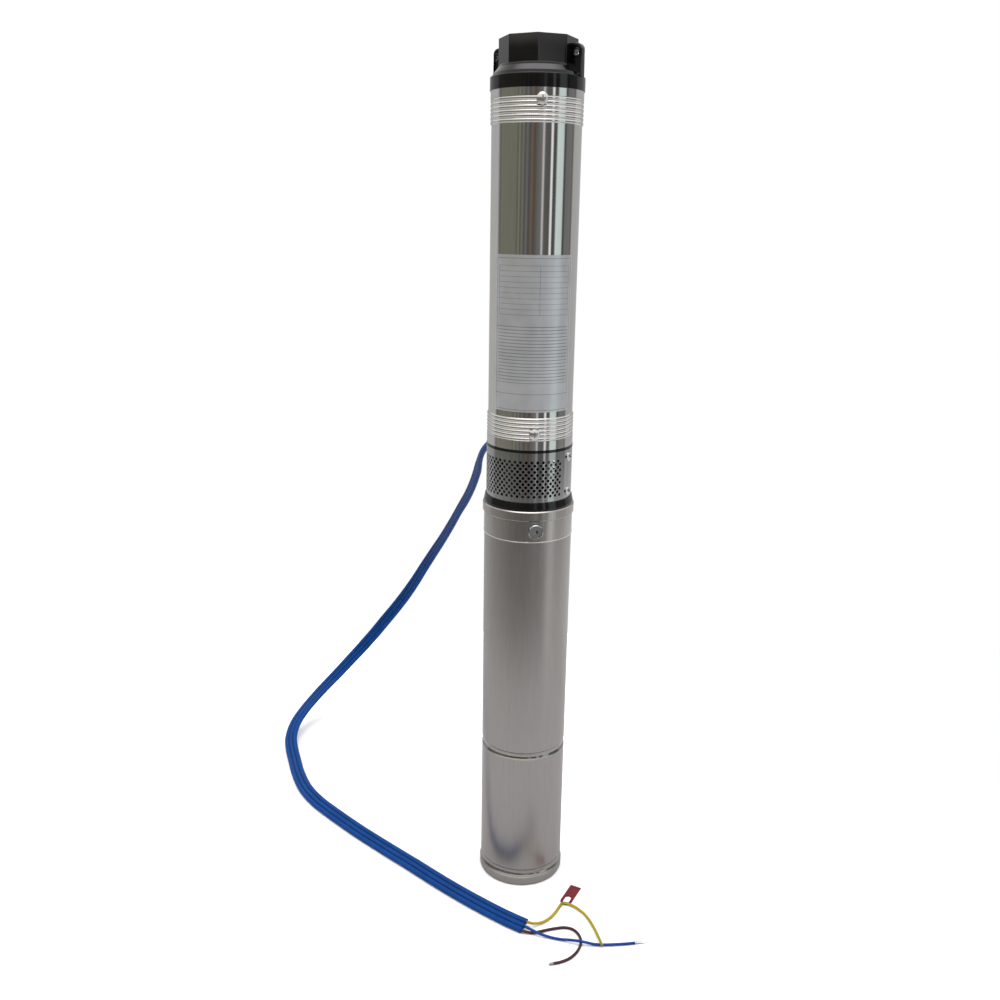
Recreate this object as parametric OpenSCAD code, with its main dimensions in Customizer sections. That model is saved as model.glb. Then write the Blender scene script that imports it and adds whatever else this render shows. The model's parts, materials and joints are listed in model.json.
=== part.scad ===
// Borehole submersible pump: a seven-stage pump end on an oil-filled motor, with a flat power cable.
// Millimetres. +Z runs up the shaft, the origin is the middle of the motor's base, the front is -Y.
// Angles called az count from the front, towards +X.

/* [Motor] */
// outer diameter of the motor can
motor_d = 96; // [92:0.5:98]
// sheet thickness of the motor can
can_t = 1.4; // [1:0.1:1.8]
// length of the can between base and top cover
can_len = 413.4; // [405:0.2:430]
// depth of the rolled grooves in the can
groove_depth = 1.6; // [0.6:0.1:1.8]
// outer diameter of the base
base_d = 98.4; // [96:0.2:100]
// height of the base below the can
base_h = 11.6; // [8:0.2:14]
// outer diameter of the top cover's skirt
cover_d = 96.8; // [96:0.2:99]
// height of the top cover's skirt
skirt_h = 24; // [22:0.5:28]
// outer diameter of the top cover's rim
rim_d = 99.6; // [97:0.2:100]
// height of the top cover's rim
rim_h = 10; // [8:0.5:13]
// length of the stator stack
stack_len = 168; // [150:1:172]
// bore of the stator
stator_bore = 49.2; // [48:0.2:51]
// air gap between rotor and stator
air_gap = 0.6; // [0.4:0.1:1]
// diameter of the capacitor
cap_d = 45; // [40:1:50]
// length of the capacitor
cap_len = 86; // [70:1:92]

/* [Pump end] */
// outer diameter of the pump shell
shell_d = 90; // [88:0.5:93]
// sheet thickness of the pump shell
shell_t = 1.2; // [0.8:0.1:1.5]
// pitch of the rolled thread rings
thread_pitch = 4; // [3.6:0.1:4.2]
// height of a thread ring's crest over its root
thread_rise = 0.8; // [0.5:0.1:1]
// height of one pump stage
stage_h = 37; // [36:0.5:40]
// outer diameter of the impellers
impeller_d = 70; // [64:0.5:72]
// outer diameter of the impeller's suction neck
neck_d = 36; // [34:0.5:38]
// number of blades in an impeller
blades = 6; // [5:1:7]
// hexagonal pump shaft, across flats
shaft_af = 12; // [11:0.5:13]
// height of the suction strainer
strainer_h = 53.5; // [52:0.5:60]
// outer diameter of the suction strainer
strainer_d = 92.4; // [91.6:0.2:94]
// sheet thickness of the strainer
strainer_t = 0.6; // [0.5:0.1:1]
// diameter of a strainer hole
hole_d = 3.2; // [2:0.1:3.4]
// height of the bracket's ring above the motor
ring_h = 9; // [8:0.5:12]

/* [Discharge head] */
// outer diameter of the head's band
band_d = 93.6; // [92.8:0.2:96]
// height of the band
band_h = 13; // [10:0.5:16]
// height of the sloping shoulder
shoulder_h = 10.5; // [8:0.5:14]
// octagonal wrench nut, across flats
nut_af = 71.7; // [68:0.1:76]
// height of the wrench nut
nut_h = 25; // [22:0.5:30]
// minor diameter of the outlet's female thread
outlet_d = 44.84; // [40:0.02:50]
// thickness of a rope ear
ear_t = 9; // [7:0.5:11]
// reach of a rope ear from the axis
ear_reach = 48; // [47:0.5:50]
// diameter of a rope eye
eye_d = 5; // [4:0.5:6]
// lift of the check valve
valve_lift = 8; // [5:0.5:9]

/* [Cable] */
// width of the flat cable
cable_w = 18; // [14:0.5:19]
// thickness of the flat cable
cable_t = 6; // [5:0.2:6.2]
// diameter of an insulated core
core_d = 3; // [2.6:0.1:3.4]

/* [Hidden] */
// fits: sliding sheet metal, seats and running gaps
fit = 0.1;
seat = 0.05;
run = 0.4;
$fn = 96;

// radii
shell_r = shell_d / 2;
root_r = shell_r + 0.3;
crest_r = root_r + thread_rise;
chord = thread_pitch * 0.47;
ring_r = (chord * chord + thread_rise * thread_rise) / (2 * thread_rise);
turns = 6;
motor_r = motor_d / 2;
can_in = motor_r - can_t;
strainer_r = strainer_d / 2;
strainer_in = strainer_r - strainer_t;
band_r = band_d / 2;
nut_r = nut_af / 2 / cos(22.5);
neck_r = neck_d / 2;

// heights above the base
z_can = base_h;
z_skirt = z_can + can_len;
z_rim = z_skirt + skirt_h;
z_motor = z_rim + rim_h;
z_strainer = z_motor + ring_h;
z_flange = z_strainer + strainer_h;
flange_t = 3;
z_shell = z_flange + flange_t;
low_rim = 9.5;
low_spigot = low_rim + turns * thread_pitch + 4;
z_stage = z_shell + low_spigot;
stages = 7;
z_carrier = z_stage + stages * stage_h;
carrier_h = 20.5;
z_spigot = z_carrier + carrier_h + 0.5;
top_rim = 7.2;
top_spigot = top_rim + turns * thread_pitch + 1.8;
z_band = z_spigot + top_spigot;
z_shoulder = z_band + band_h;
z_nut = z_shoulder + shoulder_h;
z_top = z_nut + nut_h;

// motor inside
z_stack = z_skirt - 45 - stack_len;
slots = 18;
slot_r = stator_bore / 2 + 2.4;
slot_len = 11;
turn_h = 16;
groove_r = 7.5;
groove_z = z_can + 158;
foot_groove_z = z_can + 4.9;
plate_h = 12.4;
cup_t = 4;
cup_h = 34;
z_cup = z_can + plate_h + seat;
z_cap = z_cup + cup_t + seat;
z_up_bearing = z_skirt - 19;
z_low_bearing = groove_z + 4.5;
shaft_r = 9.5;
rotor_bore = 11;
z_seal = z_skirt + 9;
stub_af = 14;
z_stub = z_motor + 28;

// ball bearings: width, outer radius, bore radius, pitch radius and ball radius
upper_size = [14, 23.5, 10, 16.75, 3.97];
lower_size = [12, 20, 8.5, 14.25, 3.37];

// impeller and diffuser levels, from the floor of a stage
plate_t = 6;
eye_gap = 0.35;
hub_r = 10;
hub_low = -8;
disc_z = 18;
disc_t = 2.5;

// fasteners
stud_r = 38.1;
stud_d = 8;
stud_az = 85;
pillar_az = 63;
lock_az = 6;
lock_top = z_band - 10.2;
lock_low = z_shell + 17.2;
lock_d = 6;
plug_az = 10;
plug_z = z_skirt + 12;
plug_r = 8;
strip_screws = [7.7, strainer_h - 8];
nut_az = -1.3;

// strainer holes
rows = 12;
row_gap = 3.35;
columns = 48;
column_az = 360 / columns;
rows_z = z_strainer + 6.6;

// cable boot
boot_az = -145;
boot_r = 33;
boot_w = cable_w + 2;
boot_h = cable_t + 8;
boot_end = 54;
boot_z = z_strainer + 40;

// check valve
valve_r = 24;
seat_in = 18;
z_valve = z_spigot + 11;
stem_r = 4;
chamber_r = 33;
pocket_r = 38;
guide_z = z_valve + 25 + valve_lift;
guide_h = 14;
stem_len = guide_z + 4 - z_valve;
disc_top = 4.2;
coil_r = 6.6;
wire_r = 0.6;

// routes of the cable and its cores, laid on the floor
cord_gap = 0.02;
up = [0, 0, 1];
cable_face = unit([-0.2, -0.25, 0.95]);
tag_w = 13;
tag_len = 32;
tag_t = 0.8;
boot_axis = [sin(boot_az), -cos(boot_az), 0];
boot_face = (boot_end + cord_gap) * boot_axis + [0, 0, boot_z];
cable_route = concat([boot_face, boot_face + 10 * boot_axis], [
  [-47, 68, 504], [-56, 94, 487], [-62, 126, 462], [-70, 162, 433],
  [-80, 196, 405], [-92, 228, 378], [-105, 260, 348], [-121, 294, 314], [-137, 322, 283],
  [-153, 343, 253], [-169, 360, 223], [-185, 373, 196], [-203, 383, 169], [-221, 387, 145],
  [-238, 387, 123], [-256, 384, 102], [-274, 377, 83], [-291, 366, 66], [-308, 351, 51],
  [-322, 334, 39], [-334, 311, 29], [-342, 284, 20.5], [-342, 255, 14], [-336, 232, 9.2],
  [-327, 208, 6.2], [-313.5, 173, 5], [-296, 137, 5], [-275.5, 108.5, 5], [-252.5, 84.5, 5],
  [-208.5, 43.5, 5], [-167.5, 8.5, 5], [-127.5, -24.5, 5], [-89.5, -56.5, 5], [-53.5, -84.5, 5],
  [-18, -109.5, 5], [6, -124, 5]]);
cable_end = cable_route[len(cable_route) - 1];
cable_dir = along(cable_route, len(cable_route) - 1);
lobe = (cable_w - cable_t) / 2;
earth_route = concat(core_start(1), [
  [15.6, -119.8, 5.4], [20.6, -117.2, 3.7], [26, -113.6, 2.3], [33.5, -106.6, 1.6], [40, -97.5, 1.7],
  [44, -89.8, 2], [47, -83.6, 2.29], [48.3, -81.7, 2.29], [50.1, -80.5, 2.29], [52.2, -80.1, 2.29],
  [54.5, -80.5, 2.29], [59.5, -83, 2.2], [66, -87.5, 1.8], [74, -97, 1.6], [79.5, -108, 1.6],
  [84, -121, 1.8], [87, -134, 3.4], [88.6, -142, 4.6], [89.8, -149, 4.75]]);
live_route = concat(core_start(-1), [
  [9, -130.2, 2.4], [13, -130.5, 1.8], [17.4, -129.9, 1.6], [24, -127.6, 1.6], [31, -125, 1.6],
  [39, -122.4, 1.6], [50, -120, 1.6], [59, -122, 1.6], [65, -128.8, 1.6], [67.9, -138, 1.6],
  [67, -147.5, 1.6], [62.2, -158.5, 1.6], [54.5, -167.5, 1.6], [45.5, -173, 1.6], [37.8, -175.6, 1.6]]);
neutral_route = concat(core_start(0), [
  [11, -127.6, 5.1], [14.5, -130, 5], [19, -132.4, 4.6], [25, -134.4, 3.4], [36, -136.9, 1.8],
  [46, -139.2, 1.9], [54, -141.2, 3.2], [61, -143.5, 4.5], [67, -144.8, 4.8], [74, -145.5, 4],
  [82, -145.5, 2.2], [90, -145.1, 1.6], [102, -144.2, 1.6], [115, -142.5, 1.6], [126.5, -140.5, 1.6]]);

// Stands a child, built along +Z, on a cylinder round the axis, pointing outwards.
module on_side(az, r, z) {
  rotate([0, 0, az]) translate([0, -r, z]) rotate([90, 0, 0]) children();
}

// Turns a profile drawn in (radius, height) into a plate of thickness t in the plane at az.
module radial_plate(az, t) {
  rotate([0, 0, az]) rotate([90, 0, -90]) translate([0, 0, -t / 2]) linear_extrude(t) children();
}

module ring(r_out, r_in, z, h) {
  translate([0, 0, z]) rotate_extrude() translate([r_in, 0]) square([r_out - r_in, h]);
}

// One end of the rolled shell, from its edge inwards: plain rim, thread rings, plain tube.
module end_form(inset, rim, len) {
  square([crest_r - inset, rim]);
  translate([0, rim - 0.01]) square([root_r - inset, turns * thread_pitch + 0.02]);
  for (i = [0:turns - 1])
    translate([crest_r - ring_r - inset, rim + (i + 0.5) * thread_pitch]) circle(r = ring_r);
  translate([0, rim + turns * thread_pitch]) square([shell_r - inset, len - rim - turns * thread_pitch]);
}

module right_half() {
  intersection() {
    children();
    translate([0, -10]) square([200, 2000]);
  }
}

module shell_form(inset) {
  translate([0, z_shell]) end_form(inset, low_rim, low_spigot);
  translate([0, z_band]) mirror([0, 1]) end_form(inset, top_rim, top_spigot);
  translate([0, z_shell + low_spigot - 1])
    square([shell_r - inset, z_spigot - z_shell - low_spigot + 2]);
}

// Rounded flat bar section, w wide and h high.
module flat_oval(w, h) {
  square([w - h, h], center = true);
  for (s = [-1, 1]) translate([s * (w - h) / 2, 0]) circle(d = h);
}

// Pan-head screw with a cross recess, underside of the head at z = 0.
module pan_screw(d, head_d, head_h, len) {
  dome = head_h * 0.55;
  big = (head_d * head_d / 4 + dome * dome) / (2 * dome);
  difference() {
    union() {
      rotate_extrude() right_half() intersection() {
        translate([0, head_h - big]) circle(r = big);
        translate([-head_d / 2, 0]) square([head_d, head_h]);
      }
      translate([0, 0, -len]) cylinder(d = d, h = len + 0.5);
    }
    for (a = [0, 90]) rotate([0, 0, a])
      translate([-head_d * 0.27, -d * 0.1, head_h * 0.45]) cube([head_d * 0.54, d * 0.2, head_h]);
  }
}

// Discharge head with its wrench nut, rope ears, valve chamber and female outlet thread.
module discharge_head() {
  color([0.06, 0.06, 0.065]) difference() {
    union() {
      rotate_extrude() right_half() union() {
        translate([0, z_band]) mirror([0, 1]) end_form(shell_t + fit, top_rim, top_spigot);
        polygon([[0, z_band], [band_r, z_band], [band_r, z_shoulder - 1], [band_r - 1, z_shoulder],
          [band_r - 2, z_shoulder], [nut_r + 0.9, z_nut - 0.8], [nut_r + 0.2, z_nut], [0, z_nut]]);
      }
      intersection() {
        translate([0, 0, z_nut - 0.5]) rotate([0, 0, nut_az]) cylinder(r = nut_r, h = nut_h + 0.5, $fn = 8);
        rotate_extrude() polygon([[0, z_nut - 0.5], [nut_r + 1, z_nut - 0.5], [nut_r + 1, z_top - 2],
          [nut_r - 1.8, z_top], [0, z_top]]);
      }
      for (a = [62.5, 242.5]) rope_ear(a);
    }
    rotate_extrude() polygon([[0, z_spigot - 1], [pocket_r, z_spigot - 1], [pocket_r, z_valve],
      [chamber_r, z_valve], [chamber_r, guide_z], [chamber_r - 2, guide_z],
      [outlet_d / 2, z_nut - 0.5], [outlet_d / 2, z_top - 1.5],
      [outlet_d / 2 + 1.5, z_top], [outlet_d / 2 + 1.5, z_top + 1], [0, z_top + 1]]);
    on_side(lock_az, crest_r, lock_top) translate([0, 0, -10]) cylinder(d = lock_d + fit, h = 12);
  }
}

// One lifting ear: a moulded radial plate with a rounded outer corner and a bossed rope eye.
module rope_ear(az) {
  corner = 6;
  top = z_shoulder + 29;
  eye_r = ear_reach - 4.8;
  eye_z = z_shoulder + 20.3;
  difference() {
    union() {
      radial_plate(az, ear_t) {
        translate([30, z_shoulder - 0.5]) square([ear_reach - 30, top - corner - z_shoulder + 0.5]);
        translate([30, z_shoulder]) square([ear_reach - corner - 30, top - z_shoulder]);
        translate([ear_reach - corner, top - corner]) circle(r = corner);
      }
      radial_plate(az, ear_t + 1.6) translate([eye_r, eye_z]) circle(d = eye_d + 3);
    }
    radial_plate(az, ear_t + 4) translate([eye_r, eye_z]) circle(d = eye_d);
  }
}

// Seat ring, put into the head from below.
module valve_seat() {
  color([0.72, 0.72, 0.74]) rotate_extrude() polygon([[seat_in, z_valve - 7], [pocket_r - fit, z_valve - 7],
    [pocket_r - fit, z_valve - seat], [seat_in + 1, z_valve - seat], [seat_in, z_valve - 2]]);
}

// Guide spider for the valve stem, under the outlet.
module valve_guide() {
  color([0.12, 0.12, 0.13]) difference() {
    union() {
      ring(chamber_r - fit, chamber_r - 5, guide_z - 8, 8 - seat);
      ring(8, stem_r + 0.35, guide_z - guide_h, guide_h - seat);
      for (a = [0:120:240]) rotate([0, 0, a])
        translate([6, -1.5, guide_z - 8]) cube([23, 3, 8 - seat]);
    }
    translate([0, 0, guide_z - 20]) cylinder(r = stem_r + 0.35, h = 40);
  }
}

// Check valve: disc and stem, lifted by the water.
module valve_poppet() {
  color([0.1, 0.1, 0.11]) difference() {
    translate([0, 0, z_valve]) rotate_extrude() polygon([[0, -5], [10, -5], [14, 0.4], [valve_r, 0.4],
      [valve_r, 3], [11, disc_top], [stem_r + 1.2, disc_top], [stem_r, 5.5],
      [stem_r, stem_len - 1], [stem_r - 1, stem_len], [0, stem_len]]);
    ring(valve_r - 1, 17.4, z_valve, 1.8);
  }
}

// Rubber sealing ring, let into the underside of the valve's disc.
module valve_seal() {
  color([0.03, 0.03, 0.03]) ring(valve_r - 1 - seat, 17.4 + seat, z_valve + seat, 1.8 - 2 * seat);
}

function helix(n, turns, r, z0, z1) = [for (i = [0:n])
  [r * cos(360 * turns * i / n), r * sin(360 * turns * i / n), z0 + (z1 - z0) * i / n]];

function unit(v) = v / norm(v);

function along(p, i) = unit(p[min(i + 1, len(p) - 1)] - p[max(i - 1, 0)]);

// Level where the face is up, and otherwise leaning with it.
function across(t, face) = unit(cross(face, t));

// First two points of the core in one of the cable's lobes, straight out of the sheath's cut end.
function core_start(side) = let (p = cable_end + side * lobe * across(cable_dir, cable_face))
  [p + cord_gap * cable_dir, p + 2 * cable_dir];

// Section of a swept piece, its width across the route: half width a past the round ends of radius b.
function section(n, a, b) = [for (j = [0:n - 1])
  let (g = 360 * (j + 0.5) / n) [sign(cos(g)) * a + b * cos(g), b * sin(g)]];

function swept(p, s, face) = [for (i = [0:len(p) - 1])
  let (t = along(p, i), w = across(t, face), u = cross(t, w))
  for (q = s) p[i] + q[0] * w + q[1] * u];

// Sweeps a section along a route as one closed solid, its flat side turned to face.
module sweep(p, s, face = up) {
  n = len(s);
  m = len(p);
  sides = [for (i = [0:m - 2]) for (j = [0:n - 1])
    [i * n + j, (i + 1) * n + j, (i + 1) * n + (j + 1) % n, i * n + (j + 1) % n]];
  ends = [[for (j = [0:n - 1]) j], [for (j = [n - 1:-1:0]) (m - 1) * n + j]];
  polyhedron(points = swept(p, s, face), faces = concat(sides, ends), convexity = 10);
}

// Return spring between valve disc and guide.
module valve_spring() {
  low = z_valve + disc_top + fit + wire_r;
  high = guide_z - guide_h - fit - wire_r;
  color([0.75, 0.75, 0.77]) sweep(helix(96, 5, coil_r, low, high), section(8, 0, wire_r));
}

// Pump shell of thin polished tube, with thread rings rolled into both ends.
module pump_shell() {
  color([0.8, 0.8, 0.82]) difference() {
    rotate_extrude() right_half() difference() {
      shell_form(0);
      shell_form(shell_t);
      translate([0, z_shell - 1]) square([crest_r - shell_t, 2]);
      translate([0, z_band - 1]) square([crest_r - shell_t, 2]);
    }
    on_side(lock_az, crest_r, lock_top) translate([0, 0, -4]) cylinder(d = lock_d + 0.4, h = 6);
    on_side(lock_az, crest_r, lock_low) translate([0, 0, -4]) cylinder(d = lock_d + 0.4, h = 6);
  }
}

// Two locking screws that keep the shell's ends from unscrewing.
module shell_lock_screws() {
  color([0.82, 0.82, 0.84]) for (z = [lock_top, lock_low])
    on_side(lock_az, crest_r + seat, z) pan_screw(lock_d, 11.4, 3.6, 9);
}

// Spider over the last stage that carries the top bush.
module upper_bearing_carrier() {
  color([0.16, 0.16, 0.17]) difference() {
    union() {
      ring(shell_r - shell_t - 2 * fit, 41.6, z_carrier, carrier_h);
      ring(13, 9, z_carrier, carrier_h);
      for (a = [0:72:288]) rotate([0, 0, a])
        translate([11, -1.6, z_carrier + 1]) cube([31, 3.2, carrier_h - 3]);
    }
    translate([0, 0, z_carrier - 1]) cylinder(r = 9, h = carrier_h + 2);
  }
}

// Rubber-lined bush for the top of the pump shaft, fluted for the water that cools it.
module upper_bearing_bush() {
  color([0.05, 0.05, 0.05]) difference() {
    ring(9 - seat, shaft_af / 2 + seat, z_carrier, carrier_h);
    for (a = [0:60:300]) rotate([0, 0, a])
      translate([shaft_af / 2 + 0.4, 0, z_carrier - 1]) cylinder(r = 0.9, h = carrier_h + 2);
  }
}

// Backward-curved blade outline between two radii.
module blade_2d(r0, r1, bow, t) {
  intersection() {
    difference() {
      circle(r = r1);
      circle(r = r0);
    }
    translate([bow * 0.62, -bow * 0.55]) difference() {
      circle(r = bow + t / 2);
      circle(r = bow - t / 2);
    }
    translate([0, -r1]) square([r1 * 2, r1 * 2]);
  }
}

// Closed radial impeller: suction neck, front shroud, curved blades, back shroud, long hub.
module impeller(k) {
  z0 = z_stage + (k - 1) * stage_h;
  r = impeller_d / 2;
  color([0.88, 0.86, 0.78]) translate([0, 0, z0]) difference() {
    union() {
      rotate_extrude() polygon([[neck_r - 2.5, -5], [neck_r, -5], [neck_r, 1.2], [r, 4.4], [r, 6.2],
        [neck_r + 0.5, 3.4], [neck_r - 2.5, 2]]);
      rotate_extrude() polygon([[0, hub_low], [hub_r, hub_low], [hub_r, 8], [hub_r + 4, 13.2], [r, 14.4],
        [r, 16.4], [hub_r + 1.5, 17.2], [hub_r, 17.2], [hub_r, stage_h + hub_low], [0, stage_h + hub_low]]);
      intersection() {
        for (i = [0:blades - 1]) rotate([0, 0, i * 360 / blades])
          linear_extrude(20) blade_2d(hub_r + 3, r, r * 0.66, 2.2);
        rotate_extrude() polygon([[neck_r - 2.4, 2.4], [neck_r + 0.5, 3.2], [r, 6], [r, 14.6],
          [hub_r + 4, 13.4], [hub_r + 2.5, 11.5]]);
      }
    }
    translate([0, 0, hub_low - 1]) cylinder(r = (shaft_af / 2 + seat) / cos(30), h = stage_h + 2, $fn = 6);
  }
}

// Diffuser bowl: outer wall, plate over the impeller, return blades and the next stage's eye plate.
module diffuser(k) {
  z0 = z_stage + (k - 1) * stage_h;
  out = shell_r - shell_t - 2 * fit;
  back = stage_h - plate_t;
  color([0.2, 0.2, 0.21]) translate([0, 0, z0]) difference() {
    union() {
      ring(out, out - 2, 0, stage_h);
      ring(36.5, hub_r + run, disc_z, disc_t);
      ring(out - 1, neck_r + eye_gap, back, plate_t);
      for (i = [0:6]) rotate([0, 0, i * 360 / 7]) translate([0, 0, disc_z + disc_t - 0.5])
        linear_extrude(back - disc_z - disc_t + 1) mirror([0, 1]) blade_2d(hub_r + 2.5, out - 0.5, 27, 2.2);
    }
    translate([0, 0, back - 0.5]) cylinder(r = neck_r + eye_gap, h = plate_t + 2);
  }
}

// Lock nut over the impeller stack.
module shaft_nut() {
  z0 = z_carrier + hub_low;
  color([0.78, 0.78, 0.8]) difference() {
    translate([0, 0, z0]) cylinder(r = 19 / 2 / cos(30), h = 7, $fn = 6);
    translate([0, 0, z0 - 1]) cylinder(r = shaft_af / 2 + seat, h = 9);
  }
}

// Pump shaft: hexagon through the impellers, collar below them, round journal above.
module pump_shaft() {
  color([0.75, 0.75, 0.77]) union() {
    translate([0, 0, z_stub + 2.2])
      cylinder(r = shaft_af / 2 / cos(30), h = z_carrier + hub_low - z_stub - 2.2, $fn = 6);
    ring(hub_r - 0.5, 0, z_stage + hub_low - 8, 8);
    ring(shaft_af / 2, 0, z_carrier + hub_low - 0.5, carrier_h - hub_low - 1);
  }
}

// Coupling sleeve with two hexagonal sockets, motor stub below and pump shaft above.
module coupling() {
  color([0.7, 0.7, 0.72]) difference() {
    rotate_extrude() polygon([[0, z_stub - 17], [11.5, z_stub - 17], [12.5, z_stub - 16], [12.5, z_stub + 19],
      [11.5, z_stub + 20], [0, z_stub + 20]]);
    translate([0, 0, z_stub - 18]) cylinder(r = (stub_af / 2 + seat) / cos(30), h = 18.2, $fn = 6);
    translate([0, 0, z_stub + 2]) cylinder(r = (shaft_af / 2 + seat) / cos(30), h = 20, $fn = 6);
  }
}

// Suction bracket between motor and pump: ring, four pillars, threaded spigot with the first eye.
module intake_bracket() {
  pillar_r = strainer_in - fit;
  color([0.05, 0.05, 0.055]) difference() {
    union() {
      rotate_extrude() polygon([[28, z_motor], [motor_r + 0.6, z_motor], [motor_r + 0.6, z_motor + 2.5],
        [strainer_r + 1, z_strainer], [28, z_strainer]]);
      intersection() {
        ring(pillar_r, 34.5, z_strainer - 1, strainer_h + 2);
        for (a = [0:90:270]) rotate([0, 0, pillar_az + a])
          translate([-6.5, -50, z_strainer - 1]) cube([13, 30, strainer_h + 2]);
      }
      difference() {
        rotate_extrude() right_half() union() {
          translate([0, z_flange]) square([strainer_r + 0.2, flange_t]);
          translate([0, z_shell]) end_form(shell_t + fit, low_rim, low_spigot);
        }
        rotate_extrude() polygon([[0, z_flange - 1], [37, z_flange - 1], [36, z_flange + 4],
          [30, z_shell + 14], [24, z_stage - 11], [neck_r + eye_gap, z_stage - plate_t],
          [neck_r + eye_gap, z_stage + 1], [0, z_stage + 1]]);
      }
    }
    for (a = [0:90:270]) rotate([0, 0, stud_az + a])
      translate([0, -stud_r, z_motor - 1]) cylinder(d = stud_d + 0.8, h = ring_h + 2);
    rotate([0, 0, boot_az]) translate([0, -boot_r, z_motor - 1]) linear_extrude(ring_h + 2)
      square([boot_w + 1, 13], center = true);
    on_side(lock_az, crest_r, lock_low) translate([0, 0, -10]) cylinder(d = lock_d + fit, h = 12);
    for (z = strip_screws) on_side(pillar_az, strainer_r, z_strainer + z)
      translate([0, 0, -8.5]) cylinder(d = 4 + fit, h = 10);
  }
}

// Suction strainer: perforated sheet wrapped round the pillars, plain where its ends are screwed down.
module strainer() {
  color([0.78, 0.78, 0.8]) difference() {
    ring(strainer_r, strainer_in, z_strainer + fit, strainer_h - 2 * fit);
    for (j = [0:rows - 1]) for (i = [0:columns - 1])
      let (a = (i + (j % 2) / 2) * column_az - 180)
        if ((a < 48 || a > 104) && abs(a - boot_az) > 19 && abs(a - boot_az - 360) > 19)
          on_side(a, strainer_r, rows_z + j * row_gap)
            translate([0, 0, -2]) cylinder(d = hole_d, h = 4, $fn = 24);
    rotate([0, 0, boot_az]) translate([0, -boot_r, boot_z]) rotate([90, 0, 0])
      linear_extrude(30) flat_oval(boot_w + 1, boot_h + 1);
    for (z = strip_screws) on_side(pillar_az, strainer_r, z_strainer + z)
      translate([0, 0, -2]) cylinder(d = 4.4, h = 4);
  }
}

// Two screws through the strainer's plain strip into a pillar.
module strainer_screws() {
  color([0.8, 0.8, 0.82]) for (z = strip_screws)
    on_side(pillar_az, strainer_r + seat, z_strainer + z) pan_screw(4, 9.5, 3, 8);
}

// Four bolts that hold the bracket on the motor.
module flange_bolts() {
  color([0.7, 0.7, 0.72]) for (a = [0:90:270]) rotate([0, 0, stud_az + a]) translate([0, -stud_r, 0]) {
    translate([0, 0, z_strainer + seat]) cylinder(r = 13 / 2 / cos(30), h = 5.3, $fn = 6);
    translate([0, 0, z_motor - 14]) cylinder(d = stud_d, h = ring_h + 15);
  }
}

// Motor top cover: rim, skirt, bearing housing, seal bore and the socket for the cable boot.
module motor_top_cover() {
  inner = can_in - fit;
  low = z_skirt - 21;
  color([0.76, 0.76, 0.78]) difference() {
    rotate_extrude() difference() {
      polygon([[0, low], [inner, low], [inner, z_skirt], [cover_d / 2, z_skirt], [cover_d / 2, z_rim - 0.6],
        [rim_d / 2 - 0.8, z_rim - 0.6], [rim_d / 2, z_rim + 0.4], [rim_d / 2, z_motor - 1],
        [rim_d / 2 - 1, z_motor], [0, z_motor]]);
      polygon([[28, low - 1], [inner - 5, low - 1], [inner - 5, z_skirt - 6], [inner - 9, z_skirt - 1],
        [31, z_skirt - 1], [28, z_skirt - 5]]);
      translate([0, low - 1]) square([upper_size[1] + seat, z_up_bearing + upper_size[0] + 1.2 - low]);
      translate([0, z_up_bearing]) square([18, 18]);
      translate([0, z_skirt - 4]) square([shaft_r + 1.2, 30]);
      translate([0, z_seal]) square([17, 7]);
      translate([0, z_seal + 7 - 0.1]) square([22, 40]);
      translate([inner - 1.5, z_skirt - 11]) circle(r = 1.6);
    }
    for (a = [0:90:270]) rotate([0, 0, stud_az + a])
      translate([0, -stud_r, z_motor - 16]) cylinder(d = stud_d + fit, h = 20);
    rotate([0, 0, boot_az]) translate([0, -boot_r, z_skirt - 10]) linear_extrude(60)
      flat_oval(cable_w + 2, cable_t + 2);
    on_side(plug_az, cover_d / 2, plug_z) {
      translate([0, 0, -14]) cylinder(d = 8 + fit, h = 20);
      translate([0, 0, -0.4]) cylinder(r = plug_r + 0.3, h = 4);
    }
    rotate([0, 0, plug_az]) translate([0, -36.5, z_skirt - 4]) cylinder(d = 4, h = 16);
  }
}

// Two equal O-rings between the can and its covers.
module can_orings() {
  color([0.03, 0.03, 0.03]) for (z = [z_skirt - 11, z_can + 17])
    translate([0, 0, z]) rotate_extrude() translate([can_in - fit - 1.5, 0]) circle(r = 1.5);
}

// Oil filling plug with a round flange and a hexagon socket.
module oil_plug() {
  color([0.8, 0.8, 0.82]) on_side(plug_az, cover_d / 2 + 0.35, plug_z) difference() {
    union() {
      rotate_extrude() polygon([[0, -0.7], [plug_r - 0.6, -0.7], [plug_r, 0.2], [plug_r, 1.2],
        [plug_r - 0.8, 2], [0, 2]]);
      translate([0, 0, -12]) cylinder(d = 8, h = 12);
    }
    translate([0, 0, 1.2]) cylinder(r = plug_r - 1.9, h = 2);
    translate([0, 0, -3]) cylinder(r = 5 / 2 / cos(30), h = 6, $fn = 6);
  }
}

// Mechanical seal: fixed seat in the cover, carbon ring and rubber bellows on the shaft.
module seal_seat() {
  color([0.9, 0.88, 0.84]) ring(17 - seat, shaft_r + 1.2, z_seal + seat, 7 - 2 * seat);
}

module seal_ring() {
  color([0.15, 0.15, 0.16]) ring(15.5, shaft_r + seat, z_seal + 7, 6);
}

module seal_bellows() {
  z0 = z_seal + 13 + seat;
  color([0.05, 0.05, 0.05]) translate([0, 0, z0]) rotate_extrude() polygon([[shaft_r + seat, 0], [15, 0],
    [15, 2], [13, 3], [15, 4.5], [13, 6], [15, 7.5], [15, 9.5], [shaft_r + seat, 9.5]]);
}

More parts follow.
